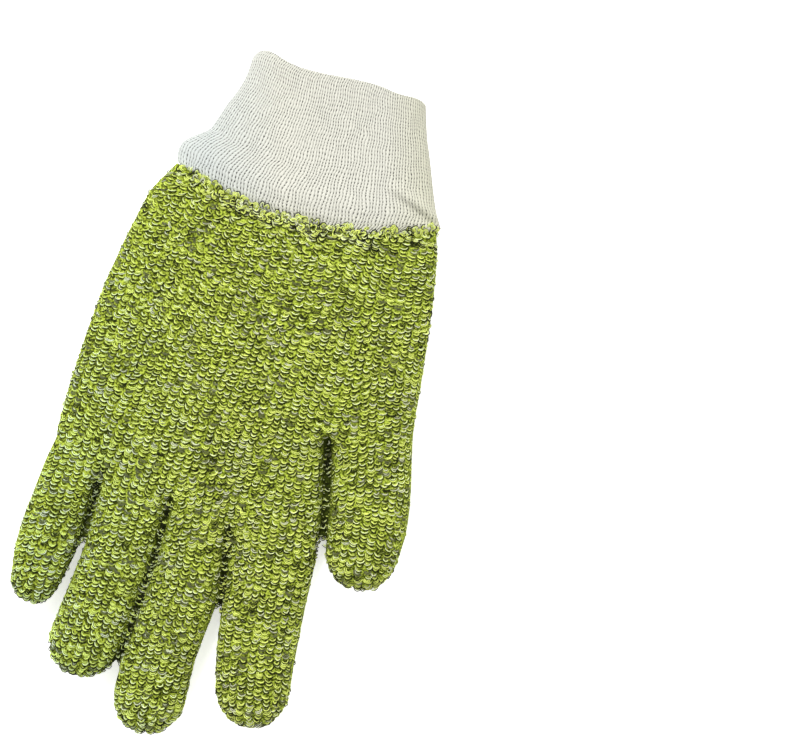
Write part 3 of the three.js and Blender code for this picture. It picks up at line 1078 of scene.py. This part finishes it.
def backingMaterial(looks):
    material, tree = newMaterial("terryBacking")
    fuzz = addCotton(tree, *looks["fibre"])["Fuzz"]
    start, slope = looks["patches"]
    patch = calc(tree, "MULTIPLY", calc(tree, "SUBTRACT", fuzz, start), slope)
    base = mixColour(tree, limited(tree, patch), looks["dark"], looks["light"])
    # Painted shade: the backing is painted darker along the creases and at their crotches
    crease = add(tree, "Attribute", attribute_name="crease")["Fac"]
    gain, most = looks["paintedCreaseShade"]
    depth = calc(tree, "MINIMUM", calc(tree, "MULTIPLY", crease, gain), most)
    base = mixColour(tree, depth, base, looks["crease"])
    finishMaterial(tree, base, fuzz, looks)
    return material


knitLooks = dict(
    # painted shade: furrow is darker than rib, and hole near black, for the shade down in the relief
    furrow=colour(170, 169, 157),
    rib=colour(195, 194, 183),
    middle=colour(140, 139, 128),
    hole=colour(50, 49, 42),
    wander=(170, 2),  # scale and detail of the noise that moves the stitches
    sway=(1.9, 2.4),  # stitches that a wale and a course move
    slant=1.1,  # that the legs of a stitch climb toward the gap
    ribPower=2.5,
    stitchPower=4.0,
    stitchDepth=(0.6, 0.4),
    holeFrom=(0.27, 0.2),  # from the wale's middle and from the stitch's
    holeSlope=4.5,
    patches=(60, 4),
    openness=(0.1, 1.5),  # of a hole in the tightest patch, and more in the loosest
    own=(0.4, 0.9),  # and by chance
    everySecond=1.1,  # more in every second gap
    middleWidth=0.17,
    middleGain=5.0,
    fibre=(1500, 0.12),
    left=(0.022, 36, (0.84, 0.9, 0.985)),  # painted tints, bluish shade on the left where the cuff turns from the light: from x, slope and colour
    # painted greenish bounced light on the right: from x, slope and colour
    right=(0.06, 40, (0.9, 0.9, 0.74)),
    nearSeam=(0.205, 16.0, 0.3),  # painted light, paler near the seam against the shade where the cuff curves down under the terry: from v, slope and gain
    bump=(0.0004, 0.8),
    shader={"Roughness": 0.9, "Sheen Weight": 0.15},
)


# Wales run along the cuff and courses around it. Where two wales meet there is a row of holes
def knitMaterial(looks):
    material, tree = newMaterial("creamKnit")
    m = lambda *a: calc(tree, *a)
    around, along, _ = axes(tree, add(tree, "UVMap", uv_map="UVMap")[0])
    place = add(tree, "TexCoord")["Object"]
    sway = axes(tree, noiseAt(tree, place, *looks["wander"])["Color"])
    wale = m("MULTIPLY", around, float(cuffSettings["wales"]))
    wale = m("ADD", wale, m("MULTIPLY", sway[0], looks["sway"][0]))
    across = m("ABSOLUTE", m("SUBTRACT", m("FRACT", wale), 0.5))  # 0 on the wale, 0.5 between
    course = m("MULTIPLY", along, float(cuffSettings["courses"]))
    course = m("ADD", course, m("MULTIPLY", sway[1], looks["sway"][1]))
    slanted = m("ADD", course, m("MULTIPLY", across, looks["slant"]))
    bow = m("ABSOLUTE", m("SUBTRACT", m("FRACT", slanted), 0.5))
    rib = m("SUBTRACT", 1.0, m("POWER", m("MULTIPLY", across, 2.0), looks["ribPower"]))
    stitch = m("SUBTRACT", 1.0, m("POWER", m("MULTIPLY", bow, 2.0), looks["stitchPower"]))
    flat, deep = looks["stitchDepth"]
    height = m("MULTIPLY", rib, m("ADD", flat, m("MULTIPLY", stitch, deep)))
    between = m("MULTIPLY", m("SUBTRACT", across, looks["holeFrom"][0]), looks["holeSlope"])
    spot = m("MULTIPLY", m("SUBTRACT", bow, looks["holeFrom"][1]), looks["holeSlope"])
    hole = m("MULTIPLY", m("MAXIMUM", between, 0.0), m("MAXIMUM", spot, 0.0))
    patches = noiseAt(tree, place, *looks["patches"])["Fac"]
    openness = m("ADD", looks["openness"][0], m("MULTIPLY", patches, looks["openness"][1]))
    gapNumber = m("FLOOR", m("ADD", wale, 0.5))
    which = add(tree, "CombineXYZ", {0: gapNumber, 1: m("FLOOR", m("ADD", slanted, 0.5))})
    chance = add(tree, "TexWhiteNoise", {"Vector": which[0]})["Value"]
    second = m("MULTIPLY", m("FRACT", m("MULTIPLY", gapNumber, 0.5)), looks["everySecond"])
    least, more = looks["own"]
    own = m("ADD", least, m("ADD", m("MULTIPLY", chance, more), second))
    hole = m("MINIMUM", m("MULTIPLY", m("MULTIPLY", hole, openness), own), 1.0)
    middle = m("MAXIMUM", m("SUBTRACT", looks["middleWidth"], across), 0.0)
    middle = m("MULTIPLY", middle, m("SUBTRACT", 0.5, bow))
    # Painted shade: the colour darkens with the relief, into the furrows and the holes
    base = mixColour(tree, height, looks["furrow"], looks["rib"])
    base = mixColour(tree, m("MULTIPLY", middle, looks["middleGain"]), base, looks["middle"])
    base = mixColour(tree, hole, base, looks["hole"])
    # Painted light: bluish shade on the cuff's left side and greenish bounced light on its right
    x = axes(tree, place)[0]
    start, slope, tint = looks["left"]
    base = tinted(tree, base, limited(tree, m("MULTIPLY", m("SUBTRACT", start, x), slope)), tint)
    start, slope, tint = looks["right"]
    base = tinted(tree, base, limited(tree, m("MULTIPLY", m("SUBTRACT", x, start), slope)), tint)
    # Painted light: the knit is painted paler near the seam, to lift the shade where it curves down
    start, slope, gain = looks["nearSeam"]
    nearSeam = limited(tree, m("MULTIPLY", m("SUBTRACT", start, along), slope))
    paintedSeamLight = m("ADD", 1.0, m("MULTIPLY", nearSeam, gain))
    fibre = addCotton(tree, *looks["fibre"])
    base = shaded(tree, base, m("MULTIPLY", fibre["Shade"], paintedSeamLight))
    finishMaterial(tree, base, m("SUBTRACT", height, hole), looks)
    return material


def dress(obj, material):
    obj.data.materials.clear()
    obj.data.materials.append(material)


yarn = yarnMaterial(yarnLooks)
for pile in piles:
    dress(pile, yarn)
dress(backing, backingMaterial(backingLooks))
dress(cuff, knitMaterial(knitLooks))
print("materials")

# Studio
studio = dict(
    shader={"Base Color": colour(250, 250, 250), "Roughness": 0.9,
            "Emission Color": (1, 1, 1, 1), "Emission Strength": 0.5},  # the table's
    tableSize=40,  # m
    tableDrop=0.0004,
    surround=0.8,
    lens=85,
    sensor=36,
    frame=300,  # width of the view at the level below, mm
    middle=(65.8, 6.67),
    level=9,
    near=0.01,
    far=20,
    aim=(0.03, 0, 0),
)
lights = {
    "key": dict(place=(-0.25, 0.8, 0.95), size=0.6, power=19),
    "fill": dict(place=(0.8, -0.4, 1.2), size=1.4, power=5),
}
deselectAll()
bpy.ops.mesh.primitive_plane_add(size=studio["tableSize"], location=(0, 0, -studio["tableDrop"]))
floor = bpy.context.object
floor.name = "floor"
floorMaterial, tree = newMaterial("whiteTable")
for name, value in studio["shader"].items():
    tree.nodes["Principled BSDF"].inputs[name].default_value = value
dress(floor, floorMaterial)

world = bpy.context.scene.world or bpy.data.worlds.new("studio")
bpy.context.scene.world = world
world.use_nodes = True
surround = world.node_tree.nodes["Background"]
surround.inputs["Color"].default_value = (1, 1, 1, 1)
surround.inputs["Strength"].default_value = studio["surround"]


def addLight(name, place, size, power):
    deselectAll()
    bpy.ops.object.light_add(type="AREA", location=place)
    light = bpy.context.object
    light.name = name
    light.data.size = size
    light.data.energy = power
    aim = Vector(studio["aim"]) - Vector(place)
    light.rotation_euler = aim.to_track_quat("-Z", "Y").to_euler()


for name, light in lights.items():
    addLight(name, **light)

camera = bpy.data.objects.new("camera", bpy.data.cameras.new("camera"))
bpy.context.scene.collection.objects.link(camera)
camera.data.lens = studio["lens"]
camera.data.sensor_width = studio["sensor"]
away = studio["frame"] * studio["lens"] / studio["sensor"] + studio["level"]
camera.location = (studio["middle"][0] * mm, studio["middle"][1] * mm, away * mm)
camera.data.clip_start = studio["near"]
camera.data.clip_end = studio["far"]
bpy.context.scene.camera = camera
bpy.context.scene.view_settings.view_transform = "Standard"
